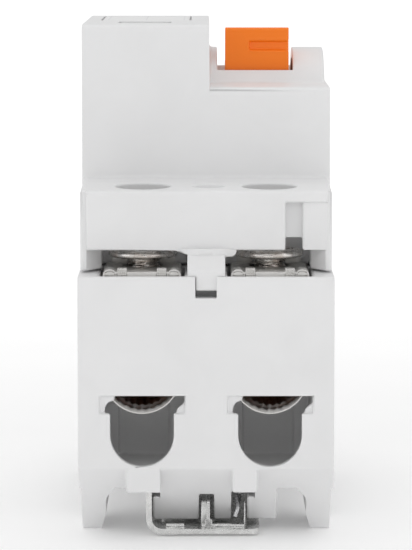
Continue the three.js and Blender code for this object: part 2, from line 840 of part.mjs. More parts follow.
function contactArm(pole) {
  const x = pole * POLE_X;
  return join(
    box(x - 1.5, x + 1.5, 0, 1, -15.4, -3.9),
    box(x - 1.5, x + 1.5, -1.1, 1, -4.6, -3.8),
    box(x, x + pole * 3.4, 0, 1, -6.6, -4.4),
    rod("y", x, -13.6, 1.6, 0.9, 2, 20),
  );
}

const contactSpring = (x) => ring("y", x, -8, 1.6, 0.9, -3.7, -0.3, 16);

// Steel plates on an insulating back quench the arc beside the fixed contact.
function arcChute(x) {
  const plates = [10.4, 12.8, 15.2, 17.6].map((z) => box(x - 3.5, x + 3.5, 9.5, 19, z, z + 0.8));
  return join(box(x - 3.5, x + 3.5, 18.4, 19.4, 10, 19), ...plates);
}

// ---- terminal clamps ----
const CAGE_HALF = 5.5;
const CAGE_BEND_R = 5.4;
const CAGE_Y = [27, 41];
const CAGE_WALL = 1.1;
const SCREW_R = 2.5;
const HEAD_R = 4.9;
const HEAD_TOP = PANEL_BOTTOM - GAP;

// A sheet-metal cage: a flat top with the thread, straight sides and a round bottom for the wire.
function clampCage(side) {
  const shell = (inset) => {
    const half = CAGE_HALF - inset;
    const centre = CAGE_LOW + CAGE_BEND_R;
    const shape = new THREE.Shape();
    shape.moveTo(half, CAGE_TOP - inset);
    shape.lineTo(-half, CAGE_TOP - inset);
    shape.lineTo(-half, centre + 0.5);
    shape.absarc(0, centre, CAGE_BEND_R - inset, Math.PI, 2 * Math.PI, false);
    shape.lineTo(half, centre + 0.5);
    shape.closePath();
    return shape;
  };
  const [near, far] = CAGE_Y.map((y) => side * y);
  return cut(
    prism("y", shell(0), near, far, 16),
    prism("y", shell(CAGE_WALL), near - 1, near + 1, 16),
    prism("y", shell(CAGE_WALL), far - 1, far + 1, 16),
    prism("y", shell(CAGE_WALL), near, far, 16),
    rod("z", 0, side * SCREW_Y, SCREW_R + GAP, CAGE_TOP - 4, CAGE_TOP + 1, 24),
  );
}

// The screw bears on the bar and stays at its height; its head is wider than the access hole.
function terminalScrew(side) {
  const y = side * SCREW_Y;
  const shank = join(
    rod("z", 0, y, SCREW_R, BAR_Z + BAR_THICK + GAP, 39.5, 24),
    rod("z", 0, y, HEAD_R, 39.3, HEAD_TOP, 32),
  );
  return cut(
    shank,
    box(-0.6, 0.6, y - 3, y + 3, HEAD_TOP - 0.8, HEAD_TOP + 1),
    box(-3, 3, y - 0.6, y + 0.6, HEAD_TOP - 0.8, HEAD_TOP + 1),
  );
}

// ---- rail clip ----
const CLIP_SHEET = 0.8;
const CLIP_LEFT = -8.5;
const CLIP_RIGHT = 7.6;
const CLIP_END = -38.3;

function railClip() {
  const tray = outline([
    [CLIP_END, 0.3],
    [-24.6, 0.3],
    [-20.6, 3.6],
    [-16.4, 3.8],
    [-16.4, 4.6],
    [-21, 4.4],
    [-25, 0.3 + CLIP_SHEET],
    [CLIP_END, 0.3 + CLIP_SHEET],
  ]);
  return join(
    prism("x", tray, CLIP_LEFT, CLIP_RIGHT),
    box(CLIP_LEFT, CLIP_LEFT + CLIP_SHEET, -37.6, -27, 0.5, 6.6),
    box(-0.3, 0.5, -37, -28, 0.5, 5.2),
  );
}

// A bowed wire between the guide and the clip draws the clip home.
function clipSpring() {
  const points = [
    [4.1, -36.2, 2.4],
    [4.6, -35.6, 4],
    [5, -33.8, 5.2],
    [4.9, -31.4, 5],
    [4.5, -29.8, 2.6],
  ];
  return wire(points, 0.35, 16, 6);
}

// ---- put together ----
place("base_housing", baseHousing(), WHITE());
place("upper_cover", upperCover(), WHITE());
place("rating_label", ratingLabel(), LABEL());
place("test_button", testButton(), WHITE());
place("button_spring", buttonSpring(), STEEL());
place("test_contact_pad", testContactPad(), COPPER());
place("test_resistor", testResistor(), TAN());
place("toggle", toggle(), ORANGE());
place("crank_pin", crankPin(), STEEL());
place("toggle_pin", togglePin(), STEEL());
place("toggle_spring", toggleSpring(), STEEL());
place("mechanism_frame", mechanismFrame(), DARK());
place("relay_case", relayCase(), DARK());
place("relay_coil", relayCoil(), COPPER());
place("relay_plunger", relayPlunger(), STEEL());
place("latch_lever", latchLever(), DARK());
place("latch_pin", latchPin(), STEEL());
place("core_ring", coreRing(), DARK());
place("secondary_winding", secondaryWinding(), COPPER());
place("carrier_pin", carrierPin(), STEEL());
place("rail_clip", railClip(), ZINC());
place("clip_spring", clipSpring(), STEEL());

const carrier = new THREE.Group();
carrier.position.set(0, 0, CARRIER_Z);
carrier.rotation.x = -CARRIER_TILT;
device.add(carrier);
place("contact_carrier", contactCarrier(), DARK(), carrier);

for (const [poleName, pole] of POLES) {
  const x = pole * POLE_X;
  place(`load_bar_${poleName}`, loadBar(x), COPPER());
  place(`primary_conductor_${poleName}`, primaryConductor(pole), COPPER());
  place(`flexible_lead_${poleName}`, flexibleLead(pole), COPPER());
  place(`line_bar_${poleName}`, lineBar(x), COPPER());
  place(`fixed_contact_${poleName}`, fixedContact(x), SILVER());
  place(`contact_arm_${poleName}`, contactArm(pole), COPPER(), carrier);
  place(`contact_spring_${poleName}`, contactSpring(x), STEEL(), carrier);
  place(`arc_chute_${poleName}`, arcChute(x), STEEL());
  for (const [endName, side] of ENDS) {
    const clamp = new THREE.Group();
    clamp.position.x = x;
    device.add(clamp);
    place(`clamp_cage_${endName}_${poleName}`, clampCage(side), ZINC(), clamp);
    place(`terminal_screw_${endName}_${poleName}`, terminalScrew(side), ZINC(), clamp);
  }
}

export default device;
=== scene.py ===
"""The finished look of a two-pole residual current device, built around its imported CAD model.

Metres, in the CAD's own frame: X across the device, Y along it, Z up from the rail feet.
"""
import json
import math

import bmesh
import bpy
import numpy as np
from mathutils import Matrix, Vector
from mathutils.bvhtree import BVHTree

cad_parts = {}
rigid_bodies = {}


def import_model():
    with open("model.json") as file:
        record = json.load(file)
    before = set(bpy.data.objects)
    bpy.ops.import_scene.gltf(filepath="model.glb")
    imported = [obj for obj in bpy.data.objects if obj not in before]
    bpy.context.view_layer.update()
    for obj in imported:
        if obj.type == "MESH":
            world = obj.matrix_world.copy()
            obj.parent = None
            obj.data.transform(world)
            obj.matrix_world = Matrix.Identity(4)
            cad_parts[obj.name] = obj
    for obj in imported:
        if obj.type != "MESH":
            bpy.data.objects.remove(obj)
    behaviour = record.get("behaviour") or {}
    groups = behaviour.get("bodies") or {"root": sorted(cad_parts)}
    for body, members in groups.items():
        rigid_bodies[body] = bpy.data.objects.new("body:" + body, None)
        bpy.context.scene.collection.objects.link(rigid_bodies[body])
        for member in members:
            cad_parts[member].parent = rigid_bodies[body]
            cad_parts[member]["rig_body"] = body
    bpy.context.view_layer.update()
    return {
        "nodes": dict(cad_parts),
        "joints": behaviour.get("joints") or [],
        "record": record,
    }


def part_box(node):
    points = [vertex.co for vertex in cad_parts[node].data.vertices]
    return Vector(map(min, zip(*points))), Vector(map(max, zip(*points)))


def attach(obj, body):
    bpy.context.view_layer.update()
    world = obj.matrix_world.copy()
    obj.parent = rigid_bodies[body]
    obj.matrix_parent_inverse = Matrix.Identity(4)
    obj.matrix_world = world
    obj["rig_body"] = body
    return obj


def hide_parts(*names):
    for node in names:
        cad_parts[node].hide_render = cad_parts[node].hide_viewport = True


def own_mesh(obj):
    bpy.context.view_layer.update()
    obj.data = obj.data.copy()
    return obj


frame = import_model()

NODES = frame["nodes"]
MM = 0.001
ENDS = (("load", -1), ("line", 1))
POLES = ("left", "right")


# ---- materials
def set_range(node, *numbers):
    for name, number in zip(("From Min", "From Max", "To Min", "To Max"), numbers):
        node.inputs[name].default_value = number


class Finish:
    """A material whose node tree is built a step at a time, on coordinates in millimetres."""

    def __init__(self, name, roughness, metallic=0.0):
        self.material = bpy.data.materials.new(name)
        self.material.use_nodes = True
        self.tree = self.material.node_tree
        self.shader = self.tree.nodes["Principled BSDF"]
        self.shader.inputs["Metallic"].default_value = metallic
        coordinates = self.add("ShaderNodeTexCoord")
        scale = self.add("ShaderNodeVectorMath", operation="SCALE")
        self.link(coordinates.outputs["Object"], scale.inputs[0])
        scale.inputs["Scale"].default_value = 1 / MM
        self.millimetres = scale.outputs[0]
        self.shader.inputs["Roughness"].default_value = roughness

    def add(self, kind, **settings):
        node = self.tree.nodes.new(kind)
        for name, value in settings.items():
            setattr(node, name, value)
        return node

    def link(self, output, socket):
        self.tree.links.new(output, socket)

    def noise(self, size, detail=2.0, stretch=(1, 1, 1), distortion=0.0):
        """Noise whose features are about that size in millimetres."""
        mapping = self.add("ShaderNodeMapping")
        mapping.inputs["Scale"].default_value = [1 / (size * s) for s in stretch]
        self.link(self.millimetres, mapping.inputs["Vector"])
        texture = self.add("ShaderNodeTexNoise")
        texture.inputs["Scale"].default_value = 1.0
        texture.inputs["Detail"].default_value = detail
        texture.inputs["Distortion"].default_value = distortion
        self.link(mapping.outputs["Vector"], texture.inputs["Vector"])
        return texture.outputs["Fac"]

    def ramp(self, value, low, high, out_low, out_high):
        node = self.add("ShaderNodeMapRange")
        set_range(node, low, high, out_low, out_high)
        self.link(value, node.inputs["Value"])
        return node.outputs["Result"]

    def patches(self, size, detail, low=0.3, high=0.7, out_low=0, out_high=1, distortion=0.0):
        """Noise of that size, with the values from low to high stretched to the whole output range."""
        return self.ramp(self.noise(size, detail, distortion=distortion), low, high, out_low, out_high)

    def multiply(self, a, b):
        node = self.add("ShaderNodeMath", operation="MULTIPLY")
        self.link(a, node.inputs[0])
        self.link(b, node.inputs[1])
        return node.outputs[0]

    def axes(self):
        """The outputs X, Y and Z, in millimetres."""
        split = self.add("ShaderNodeSeparateXYZ")
        self.link(self.millimetres, split.inputs[0])
        return split.outputs

    def away_from(self, value, place):
        """How far a value is from a place, as a positive number."""
        away = self.add("ShaderNodeMath", operation="SUBTRACT")
        self.link(value, away.inputs[0])
        away.inputs[1].default_value = place
        size = self.add("ShaderNodeMath", operation="ABSOLUTE")
        self.link(away.outputs[0], size.inputs[0])
        return size.outputs[0]

    def mix(self, factor, a, b):
        """Colour a where factor is 0, b where it is 1; each is an RGB triple or an output."""
        node = self.add("ShaderNodeMix", data_type="RGBA")
        self.link(factor, node.inputs["Factor"])
        for socket, colour in ((node.inputs[6], a), (node.inputs[7], b)):
            if isinstance(colour, (tuple, list)):
                socket.default_value = (*colour, 1)
            else:
                self.link(colour, socket)
        return node.outputs[2]

    def edges(self, radius):
        """About 1 along convex and concave edges and 0 on open faces."""
        bevel = self.add("ShaderNodeBevel", samples=4)
        bevel.inputs["Radius"].default_value = radius * MM
        geometry = self.add("ShaderNodeNewGeometry")
        dot = self.add("ShaderNodeVectorMath", operation="DOT_PRODUCT")
        self.link(bevel.outputs["Normal"], dot.inputs[0])
        self.link(geometry.outputs["Normal"], dot.inputs[1])
        return self.ramp(dot.outputs["Value"], 0.995, 0.85, 0.0, 1.0)

    def colour(self, output):
        self.link(output, self.shader.inputs["Base Color"])

    def roughness(self, output):
        self.link(output, self.shader.inputs["Roughness"])

    def bump(self, *layers):
        """Layers of (height output, depth in millimetres), stacked."""
        previous = None
        for height, depth in layers:
            node = self.add("ShaderNodeBump")
            node.inputs["Strength"].default_value = 1.0
            node.inputs["Distance"].default_value = depth * MM
            self.link(height, node.inputs["Height"])
            if previous is not None:
                self.link(previous, node.inputs["Normal"])
            previous = node.outputs["Normal"]
        self.link(previous, self.shader.inputs["Normal"])


def srgb(red, green, blue):
    """A linear colour from 0 to 255 display values."""
    return tuple(
        c / 12.92 if c <= 0.04045 else ((c + 0.055) / 1.055) ** 2.4
        for c in (red / 255, green / 255, blue / 255)
    )


def shade(colour, factor):
    return tuple(min(1.0, c * factor) for c in colour)


def moulded_plastic(name, colour, roughness=0.42):
    """Injection-moulded plastic: eroded-tool grain, faint flow mottling, and edges painted lighter,
    partly as polished rubbed wear and partly as a painted highlight.
    """
    finish = Finish(name, roughness)
    mottle = finish.patches(9, 3, distortion=0.6)
    base = finish.mix(mottle, shade(colour, 0.975), shade(colour, 1.015))
    dust = finish.patches(0.5, 4, 0.62, 0.78, 0, 0.25)
    base = finish.mix(dust, base, shade(colour, 0.9))
    # Painted highlight and wear: a lighter colour in patches along convex and concave edges.
    rubbed_and_highlit = finish.multiply(finish.edges(0.3), finish.patches(2.2, 3, 0.35, 0.7, 0.15, 0.7))
    finish.colour(finish.mix(rubbed_and_highlit, base, shade(colour, 1.05)))
    finish.roughness(finish.patches(3.5, 4, 0.25, 0.75, roughness - 0.06, roughness + 0.07))
    finish.bump((finish.noise(0.16, 2), 0.004), (finish.noise(6, 2), 0.012))
    return finish.material


def sheet_metal(name, colour, roughness, direction=(1, 1, 1), stain=None):
    """Bare or plated metal: drawing lines along one direction, fine pits, and edges painted brighter,
    partly as wear and partly as a painted highlight.
    """
    depth = 0.006
    finish = Finish(name, roughness, 1.0)
    stained = finish.patches(1.6, 4, 0.35, distortion=0.8)
    base = finish.mix(stained, colour, stain or shade(colour, 0.82))
    # Painted highlight and wear: a brighter colour in patches along the edges.
    edge = finish.multiply(finish.edges(0.15), finish.patches(0.8, 3, 0.3, 0.7, 0.3, 0.9))
    finish.colour(finish.mix(edge, base, shade(colour, 1.12)))
    finish.roughness(finish.patches(0.7, 4, 0.25, 0.8, roughness - 0.08, roughness + 0.16))
    lines = finish.noise(0.12, 3, stretch=direction)
    finish.bump((lines, depth), (finish.noise(0.5, 3), depth))
    return finish.material


def enamelled_wire(name, colour):
    """Copper under clear varnish."""
    finish = Finish(name, 0.3, 1.0)
    finish.colour(finish.mix(finish.patches(1.2, 3), colour, shade(colour, 0.7)))
    finish.roughness(finish.patches(0.6, 3, out_low=0.22, out_high=0.4))
    finish.shader.inputs["Coat Weight"].default_value = 0.6
    finish.shader.inputs["Coat Roughness"].default_value = 0.1
    finish.bump((finish.noise(0.3, 2), 0.004))
    return finish.material


def printed_film(name, film, ink, low, high):
    """A pale film with a thin ruled border and two rules across it, and nothing written on it."""
    finish = Finish(name, 0.5)
    axes = finish.axes()
    margin = 0.8
    line = 0.12
    width, length = high[0] - low[0], high[1] - low[1]
    places = [("X", low[0] + margin), ("X", high[0] - margin)]
    places += [("Y", low[1] + margin), ("Y", high[1] - margin)]
    places += [("Y", low[1] + length * 0.34), ("Y", low[1] + length * 0.7), ("X", low[0] + width * 0.5)]
    base = finish.mix(finish.patches(4, 3), film, shade(film, 0.97))
    for axis, place in places:
        rule = finish.ramp(finish.away_from(axes[axis], place), line, line * 0.6, 0, 1)
        base = finish.mix(rule, base, ink)
    finish.colour(base)
    finish.roughness(finish.patches(1, 3, out_low=0.4, out_high=0.55))
    finish.bump((finish.noise(0.4, 3), 0.002))
    return finish.material


def banded_body(name, colour, bands, low, high):
    """A lacquered resistor body with colour bands along Y."""
    finish = Finish(name, 0.35)
    along = finish.ramp(finish.axes()["Y"], low, high, 0, 1)
    base = finish.mix(finish.patches(1.5, 3), colour, shade(colour, 0.9))
    half_band = 0.034
    for place, band in bands:
        inside = finish.ramp(finish.away_from(along, place), half_band, half_band - 0.006, 0, 1)
        base = finish.mix(inside, base, band)
    finish.colour(base)
    finish.roughness(finish.patches(0.8, 3, out_low=0.28, out_high=0.42))
    finish.bump((finish.noise(0.6, 2), 0.006))
    return finish.material


def node_mm(node):
    """A CAD node's box in millimetres."""
    low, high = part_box(node)
    return [c / MM for c in low], [c / MM for c in high]


def centre_of(node):
    """The middle of a CAD node's box, in millimetres."""
    return [(low + high) / 2 for low, high in zip(*node_mm(node))]


HOUSING = (0.82, 0.82, 0.823)
ORANGE = (1.0, 0.21, 0.0)
DARK = srgb(52, 54, 58)
ZINC = (0.72, 0.71, 0.69)
STEEL = (0.62, 0.62, 0.63)
COPPER = srgb(196, 120, 78)
BROWN = srgb(128, 70, 34)

LABEL = node_mm("rating_label")
RESISTOR_LOW, RESISTOR_HIGH = node_mm("test_resistor")
WIRE_END = 3  # length of each bare wire end of the resistor
EVENLY = (1, 1, 1)
RECIPES = {
    "housing_plastic": (moulded_plastic, HOUSING),
    "button_plastic": (moulded_plastic, (0.84, 0.84, 0.83), 0.36),
    "toggle_plastic": (moulded_plastic, ORANGE, 0.38),
    "inner_plastic": (moulded_plastic, DARK, 0.5),
    "label": (printed_film, (0.85, 0.85, 0.85), (0.76, 0.76, 0.77), *LABEL),
    "copper": (sheet_metal, COPPER, 0.34, (8, 1, 8), srgb(150, 86, 54)),
    "braid_copper": (sheet_metal, COPPER, 0.42, EVENLY, srgb(140, 78, 50)),
    "winding_copper": (enamelled_wire, srgb(190, 96, 52)),
    "contact_silver": (sheet_metal, (0.84, 0.83, 0.8), 0.3),
    "pin_steel": (sheet_metal, STEEL, 0.24, (12, 1, 1)),
    "spring_steel": (sheet_metal, STEEL, 0.26),
    "arc_steel": (sheet_metal, (0.5, 0.5, 0.51), 0.4, (1, 8, 1)),
    "clip_steel": (sheet_metal, (0.78, 0.78, 0.77), 0.24, (8, 1, 8)),
    "cage_zinc": (sheet_metal, ZINC, 0.4, (1, 8, 1), (0.66, 0.65, 0.63)),
    "screw_zinc": (sheet_metal, ZINC, 0.24, EVENLY, (0.6, 0.54, 0.5)),
    "resistor_body": (
        banded_body,
        srgb(205, 182, 138),
        ((0.28, BROWN), (0.42, srgb(30, 30, 30)), (0.56, srgb(190, 50, 30)), (0.74, srgb(190, 150, 60))),
        RESISTOR_LOW[1] + WIRE_END,
        RESISTOR_HIGH[1] - WIRE_END,
    ),
}
LOOKS = {slot: maker(slot, *values) for slot, (maker, *values) in RECIPES.items()}


# ---- mesh tools
def slot_of(node):
    """The record's material slot of a CAD node."""
    return next(part["material_slot"] for part in frame["record"]["subparts"] if part["node"] == node)


def place_object(name, data):
    """A new object in the scene."""
    thing = bpy.data.objects.new(name, data)
    bpy.context.scene.collection.objects.link(thing)
    return thing


def add_piece(node, mesh):
    """An object that rides with, and stands for, a CAD node."""
    piece = place_object(node + "_finished", mesh)
    slot = slot_of(node)
    mesh.materials.clear()
    mesh.materials.append(LOOKS[slot])
    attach(piece, NODES[node]["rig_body"])
    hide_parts(node)
    return piece


def join_rings(bm, one, two):
    """A band of faces between two closed rings of vertices."""
    count = len(one)
    for k in range(count):
        j = (k + 1) % count
        bm.faces.new((one[k], one[j], two[j], two[k]))


def mesh_from(bm, name):
    bmesh.ops.recalc_face_normals(bm, faces=bm.faces)
    mesh = bpy.data.meshes.new(name)
    bm.to_mesh(mesh)
    bm.free()
    return mesh


def smooth(mesh, degrees=35):
    """Smooth shading, with the edges that turn more than this kept sharp."""
    mesh.polygons.foreach_set("use_smooth", [True] * len(mesh.polygons))
    mesh.set_sharp_from_angle(angle=math.radians(degrees))
    return mesh


SHARP = math.radians(26)
FLAT = math.radians(0.6)
FLATNESS = 0.045 * MM
SAMPLES = np.array([0.04, 0.27, 0.5, 0.73, 0.96])


def flat_regions(bm):
    """The faces of each flat stretch, found by walking over the edges that don't turn."""
    seen = set()
    for first in bm.faces:
        if first in seen:
            continue
        region, waiting = [], [first]
        seen.add(first)
        while waiting:
            face = waiting.pop()
            region.append(face)
            level = [e for e in face.edges if e.is_manifold and e.calc_face_angle() < FLAT]
            for other in (f for edge in level for f in edge.link_faces):
                if other not in seen:
                    seen.add(other)
                    waiting.append(other)
        yield region


def room_along(region, room, share=0.42):
    """Lowers room[edge] to what the flat region leaves beside each of its border edges."""
    inside = set(region)
    border = list({e for f in region for e in f.edges if sum(g in inside for g in e.link_faces) == 1})
    start = np.array([e.verts[0].co for e in border])
    run = np.array([e.verts[1].co for e in border]) - start
    length2 = np.maximum((run * run).sum(1), 1e-18)
    for i, edge in enumerate(border):
        points = start[i] + SAMPLES[:, None] * run[i]
        t = ((points[:, None] - start) * run).sum(2) / length2
        nearest = start + np.clip(t, 0, 1)[..., None] * run
        distance = np.linalg.norm(points[:, None] - nearest, axis=2)
        touching = [j for j, other in enumerate(border) if set(other.verts) & set(edge.verts)]
        distance[:, touching] = np.inf
        room[edge] = min(room[edge], share * distance.min())
    for edge in border:
        for vert in edge.verts:
            for other in border:
                if other is edge or vert not in other.verts:
                    continue
                one = (edge.other_vert(vert).co - vert.co).normalized()
                two = (other.other_vert(vert).co - vert.co).normalized()
                half = one.angle(two, math.pi) / 2
                limit = 0.45 * other.calc_length() * math.tan(min(half, 1.55))
                room[edge] = min(room[edge], limit)


def even_out(bm, room):
    """Gives edges that follow on from each other the same room, so that a round keeps its width."""
    sharp = {e for e in bm.edges if e.is_manifold and e.calc_face_angle() > SHARP}
    changed = True
    while changed:
        changed = False
        for vert in bm.verts:
            chain = [e for e in vert.link_edges if e in sharp]
            if len(chain) == 2 and abs(room[chain[0]] - room[chain[1]]) > 1e-9:
                room[chain[0]] = room[chain[1]] = min(room[chain[0]], room[chain[1]])
                changed = True
    return sharp


def set_bevel_weights(bm, wish, widest):
    """Weighs each sharp edge by its wished width, or less where its neighbours leave less room."""
    layer = bm.edges.layers.float.new("bevel_weight_edge")
    room = {edge: wish(edge) for edge in bm.edges}
    for region in flat_regions(bm):
        room_along(region, room)
    for edge in even_out(bm, room):
        weight = room[edge] / widest
        edge[layer] = weight if weight > 0.04 else 0.0


def stray_points(mesh, surface, width):
    """Where a rounded mesh leaves the true surface, or has a face that isn't flat."""
    for vert in mesh.vertices:
        away = surface.find_nearest(vert.co)[3]
        if away > 0.5 * width:
            yield vert.co.copy(), away
    for face in mesh.polygons:
        if face.area < 1e-6:
            continue
        for index in face.vertices:
            place = mesh.vertices[index].co
            if abs((place - face.center).dot(face.normal)) > FLATNESS:
                yield place.copy(), 0.3 * width


def calm_strays(piece, surface, width):
    """Halves the bevel weights wherever the rounded mesh strays."""
    edges = piece.data.edges
    ends = np.array([[piece.data.vertices[v].co for v in e.vertices] for e in edges])
    start, run = ends[:, 0], ends[:, 1] - ends[:, 0]
    length2 = (run * run).sum(1)
    weights = piece.data.attributes["bevel_weight_edge"].data
    for _ in range(8):
        made = piece.evaluated_get(bpy.context.evaluated_depsgraph_get())
        strays = list(stray_points(made.data, surface, width))
        if not strays:
            return
        touched = set()
        for place, away in strays:
            t = np.clip(((np.array(place) - start) * run).sum(1) / length2, 0, 1)
            distance = np.linalg.norm(start + t[:, None] * run - np.array(place), axis=1)
            touched.update(np.flatnonzero(distance < 1.5 * away + 0.6 * width))
        for i in touched:
            weights[i].value = weights[i].value / 2 if weights[i].value > 0.08 else 0.0
        piece.data.update_tag()


def round_edges(piece, width, segments=3, wish=None):
    """Rounds the sharp edges by bevels of that width in metres, or of wish(edge) where it is less."""
    bm = bmesh.new()
    bm.from_mesh(piece.data)
    bmesh.ops.remove_doubles(bm, verts=bm.verts, dist=1e-6)
    bmesh.ops.dissolve_limit(bm, angle_limit=FLAT, verts=bm.verts, edges=bm.edges)
    set_bevel_weights(bm, wish or (lambda edge: width), width)
    surface = BVHTree.FromBMesh(bm)
    bm.to_mesh(piece.data)
    bm.free()
    smooth(piece.data)
    bevel = piece.modifiers.new("rounded_edges", "BEVEL")
    bevel.width = width
    bevel.segments = segments
    bevel.limit_method = "WEIGHT"
    bevel.use_clamp_overlap = False
    calm_strays(piece, surface, width)
    normals = piece.modifiers.new("even_shading", "WEIGHTED_NORMAL")
    normals.keep_sharp = True


def rounded_copy(node, width, segments=3, wish=None):
    """A piece with a CAD node's shape and moulded or rolled edges."""
    round_edges(add_piece(node, NODES[node].data.copy()), width * MM, segments, wish)


def combine(mesh, others, operation="UNION"):
    """One mesh joined with, or cut by, others, which are used up."""
    whole = place_object("whole", mesh)
    tools = []
    for other in others:
        tool = place_object("tool", other)
        modifier = whole.modifiers.new("combine", "BOOLEAN")
        modifier.operation = operation
        modifier.solver = "EXACT"
        modifier.object = tool
        tools.append(tool)
    bpy.context.view_layer.update()
    graph = bpy.context.evaluated_depsgraph_get()
    result = bpy.data.meshes.new_from_object(whole.evaluated_get(graph))
    for used in (whole, *tools):
        bpy.data.objects.remove(used)
    return result


def arc_outline(corners, steps=6):
    """A closed outline from corners (a, b, radius), with a true arc at each rounded corner."""
    points = []
    count = len(corners)
    for i, corner in enumerate(corners):
        here = Vector(corner[:2])
        radius = corner[2] if len(corner) > 2 else 0
        if radius == 0:
            points.append(here)
            continue
        back = (Vector(corners[i - 1][:2]) - here).normalized()
        ahead = (Vector(corners[(i + 1) % count][:2]) - here).normalized()
        half = back.angle(ahead) / 2
        centre = here + (back + ahead).normalized() * radius / math.sin(half)
        first = here + back * radius / math.tan(half) - centre
        last = here + ahead * radius / math.tan(half) - centre
        turn = first.angle_signed(last)
        for k in range(steps + 1):
            angle = -turn * k / steps
            cosine, sine = math.cos(angle), math.sin(angle)
            spoke = Vector((first.x * cosine - first.y * sine, first.x * sine + first.y * cosine))
            points.append(centre + spoke)
    return points


AXES = {"x": (1, 2, 0), "y": (0, 2, 1), "z": (0, 1, 2)}


def prism(name, outline, axis, low, high):
    """A closed outline in the plane across an axis, drawn out along it; millimetres."""
    first, second, along = AXES[axis]
    bm = bmesh.new()
    rings = []
    for place in (low, high):
        ring = []
        for a, b in outline:
            co = [0.0, 0.0, 0.0]
            co[first], co[second], co[along] = a * MM, b * MM, place * MM
            ring.append(bm.verts.new(co))
        rings.append(ring)
    bm.faces.new(rings[0])
    bm.faces.new(rings[1])
    join_rings(bm, *rings)
    return mesh_from(bm, name)


def block(name, low, high):
    """A plain block, as a tool or a part of a larger mesh; millimetres."""
    outline = [(low[0], low[1]), (high[0], low[1]), (high[0], high[1]), (low[0], high[1])]
    return prism(name, outline, "z", low[2], high[2])


def ring_stack(name, centre, rows, columns=48):
    """A turned form about Z: rows of (height, radius), where a radius may be a function of the angle."""
    bm = bmesh.new()
    rings = []
    for height, radius in rows:
        ring = []
        for k in range(columns):
            angle = 2 * math.pi * k / columns
            r = radius(angle) if callable(radius) else radius
            place = (centre[0] + r * math.cos(angle), centre[1] + r * math.sin(angle), height)
            ring.append(bm.verts.new([c * MM for c in place]))
        rings.append(ring)
    for lower, upper in zip(rings, rings[1:]):
        join_rings(bm, lower, upper)
    bm.faces.new(rings[0])
    bm.faces.new(rings[-1])
    return mesh_from(bm, name)


def tube(name, path, radius, sides=10, closed=False, bm=None):
    """A round tube along points in millimetres; radius may be a function of (share, angle)."""
    points = [Vector(p) * MM for p in path]
    count = len(points)
    own = bm is None
    bm = bm or bmesh.new()
    side = None
    rings = []
    for i, point in enumerate(points):
        if closed:
            ahead = points[(i + 1) % count] - points[i - 1]
        else:
            ahead = points[min(i + 1, count - 1)] - points[max(i - 1, 0)]
        ahead.normalize()
        if side is None:
            side = ahead.orthogonal().normalized()
        side = (side - ahead * side.dot(ahead)).normalized()
        up = ahead.cross(side)
        ring = []
        for k in range(sides):
            angle = 2 * math.pi * k / sides
            r = radius(i / (count - 1), angle) if callable(radius) else radius
            ring.append(bm.verts.new(point + (side * math.cos(angle) + up * math.sin(angle)) * r * MM))
        rings.append(ring)
    pairs = list(zip(rings, rings[1:]))
    if closed:
        pairs.append((rings[-1], rings[0]))
    for near, far in pairs:
        join_rings(bm, near, far)
    if not closed:
        bm.faces.new(rings[0])
        bm.faces.new(rings[-1])
    return smooth(mesh_from(bm, name)) if own else None


def smooth_path(points, per_span=6):
    """Points on a Catmull-Rom curve through these points."""
    vectors = [Vector(p) for p in points]
    padded = [2 * vectors[0] - vectors[1], *vectors, 2 * vectors[-1] - vectors[-2]]
    path = []
    for a, b, c, d in zip(padded, padded[1:], padded[2:], padded[3:]):
        for k in range(per_span):
            t = k / per_span
            square = (2 * a - 5 * b + 4 * c - d) * t * t
            cube = (3 * b - a - 3 * c + d) * t ** 3
            path.append(0.5 * (2 * b + (c - a) * t + square + cube))
    return [*path, vectors[-1]]


def coil_path(place, radius, low, high, turns, per_turn=20, flat_turns=1.0):
    """A helix between two heights, with closed end turns; place turns (x, y, height) to a point."""
    working = turns - 2 * flat_turns
    path = []
    for i in range(int(turns * per_turn) + 1):
        turn = i / per_turn
        height = low + (high - low) * min(max((turn - flat_turns) / working, 0), 1)
        angle = 2 * math.pi * turn
        path.append(place(radius * math.cos(angle), radius * math.sin(angle), height))
    return path


# ---- housing and other plain pieces
# The width of each plain piece's rounds, in millimetres.
SINGLE_PIECES = {
    "test_button": 0.25,
    "toggle": 0.35,
    "contact_carrier": 0.3,
    "mechanism_frame": 0.2,
    "latch_lever": 0.25,
    "relay_case": 0.3,
    "rating_label": 0.04,
    "test_contact_pad": 0.15,
    "crank_pin": 0.15,
    "toggle_pin": 0.2,
    "carrier_pin": 0.2,
    "latch_pin": 0.15,
    "relay_plunger": 0.15,
    "core_ring": 0.8,
}
POLE_PIECES = {
    "load_bar": 0.2,
    "line_bar": 0.2,
    "fixed_contact": 0.25,
    "contact_arm": 0.15,
    "arc_chute": 0.12,
}


def side_block(name, side, across, along, up):
    """A block at one end, drawn as seen from outside that end."""
    x = sorted(-side * c for c in across)
    y = sorted(side * c for c in along)
    return block(name, (x[0], y[0], up[0]), (x[1], y[1], up[1]))


BROAD_ROUND = 1.0
WALL_ROUND = 0.6
RIM_ROUND = 0.75
SMALL_ROUND = 0.3
FINE_ROUND = 0.1
HOUSING_ROUND = 0.35
SHOULDER_LEVEL = 48.6
LABEL_LEVEL = 71
BUTTON_HOLE_R = 5.6
ACCESS_HOLE_R = 4.4
HUMP_REACH = 13
NOTCH_HALF = 1.7
NOTCH_LEVEL = 34
POLE_X = 9


def near_axis(points, x, y, reach):
    return all(math.hypot(p.x - x, p.y - y) < reach for p in points)


